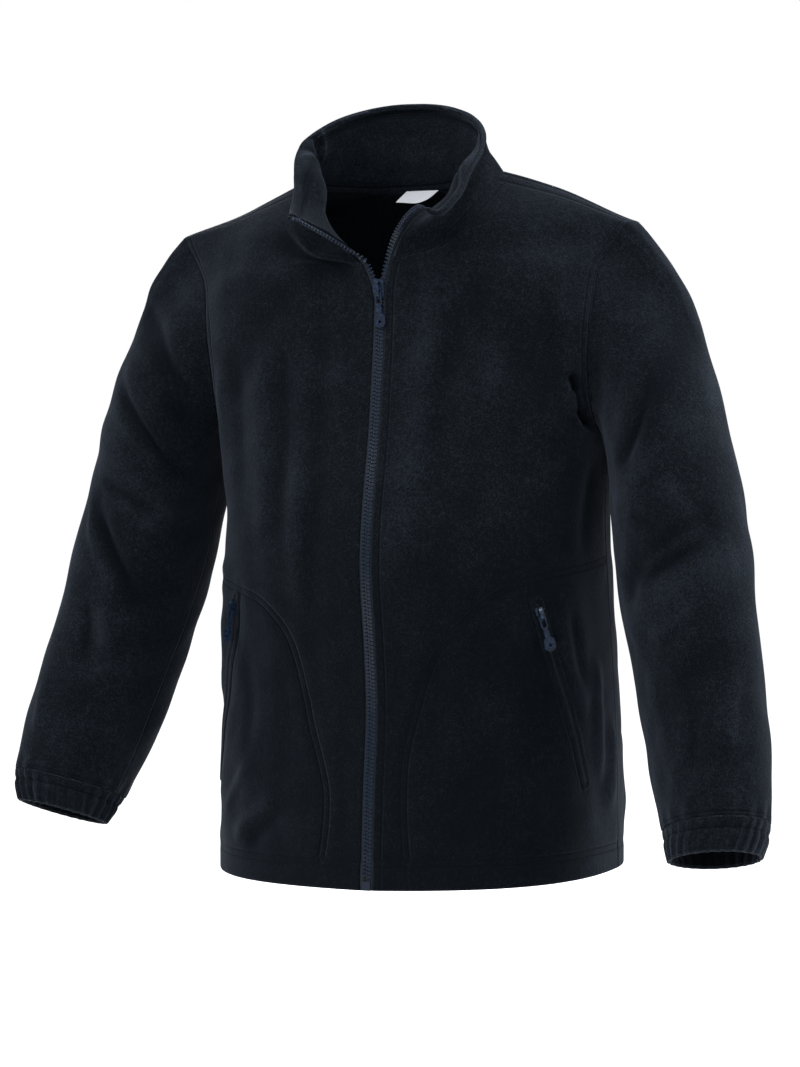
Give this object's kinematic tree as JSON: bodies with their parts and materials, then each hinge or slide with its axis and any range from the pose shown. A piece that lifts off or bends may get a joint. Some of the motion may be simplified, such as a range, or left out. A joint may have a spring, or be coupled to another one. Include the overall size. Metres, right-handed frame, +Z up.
{
  "type": "fleece zip jacket",
  "caption": "Micro-fleece jacket with a stand collar, full-length front zip, slanted zipped hand pockets and elasticated cuffs, filled out as when worn, with the collar open.",
  "frame": {"origin": "middle of the neck opening, at the height of the shoulder seams' highest point, where the wearer's neck and shoulders hold the jacket", "axes": "+Z up, -Y out of the front (the zip), +X towards the wearer's left"},
  "size_m": [0.7798, 0.3367, 0.7833],
  "materials": {
    "back": "dark navy micro-fleece, brushed nap",
    "collar": "dark navy micro-fleece, brushed nap",
    "cuff_left": "dark navy micro-fleece, brushed nap",
    "cuff_right": "dark navy micro-fleece, brushed nap",
    "front_left": "dark navy micro-fleece, brushed nap",
    "front_right": "dark navy micro-fleece, brushed nap",
    "neck_label": "bare white woven satin tape",
    "pocket_left_pull": "die-cast zinc, dark blue lacquer",
    "pocket_left_slider": "die-cast zinc, dark blue lacquer",
    "pocket_lip_left": "woven dark navy tape",
    "pocket_lip_right": "woven dark navy tape",
    "pocket_right_pull": "die-cast zinc, dark blue lacquer",
    "pocket_right_slider": "die-cast zinc, dark blue lacquer",
    "pocket_zip_left": "moulded dark blue plastic, satin",
    "pocket_zip_right": "moulded dark blue plastic, satin",
    "sleeve_left": "dark navy micro-fleece, brushed nap",
    "sleeve_right": "dark navy micro-fleece, brushed nap",
    "zip_box": "moulded dark blue plastic, satin",
    "zip_pull": "die-cast zinc, dark blue lacquer",
    "zip_slider": "die-cast zinc, dark blue lacquer",
    "zip_tape_left": "woven dark navy tape",
    "zip_tape_right": "woven dark navy tape",
    "zip_teeth_left": "moulded dark blue plastic, satin",
    "zip_teeth_right": "moulded dark blue plastic, satin"
  },
  "bodies": {
    "garment": {"back": "back", "collar": "collar", "cuff_left": "cuff_left", "cuff_right": "cuff_right", "front_left": "front_left", "front_right": "front_right", "neck_label": "neck_label", "pocket_left_slider": "pocket_left_slider", "pocket_lip_left": "pocket_lip_left", "pocket_lip_right": "pocket_lip_right", "pocket_right_slider": "pocket_right_slider", "pocket_zip_left": "pocket_zip_left", "pocket_zip_right": "pocket_zip_right", "sleeve_left": "sleeve_left", "sleeve_right": "sleeve_right", "zip_box": "zip_box", "zip_slider": "zip_slider", "zip_tape_left": "zip_tape_left", "zip_tape_right": "zip_tape_right", "zip_teeth_left": "zip_teeth_left", "zip_teeth_right": "zip_teeth_right"},
    "zip_pull_body": {"zip_pull": "zip_pull"},
    "pocket_left_pull_body": {"pocket_left_pull": "pocket_left_pull"},
    "pocket_right_pull_body": {"pocket_right_pull": "pocket_right_pull"}
  },
  "joints": [
    {"name": "zip_pull_hinge", "type": "hinge", "parent": "garment", "child": "zip_pull_body", "pos_m": [-0.00063, -0.06418, -0.11849], "axis": [-0.9966, 0, -0.0828], "range_deg": [0, 150]},
    {"name": "pocket_left_pull_hinge", "type": "hinge", "parent": "garment", "child": "pocket_left_pull_body", "pos_m": [0.16333, -0.05214, -0.43174], "axis": [-0.763, -0.5745, -0.2964], "range_deg": [0, 150]},
    {"name": "pocket_right_pull_hinge", "type": "hinge", "parent": "garment", "child": "pocket_right_pull_body", "pos_m": [-0.16336, -0.05219, -0.43179], "axis": [-0.7628, 0.5752, 0.2954], "range_deg": [0, 150]}
  ]
}
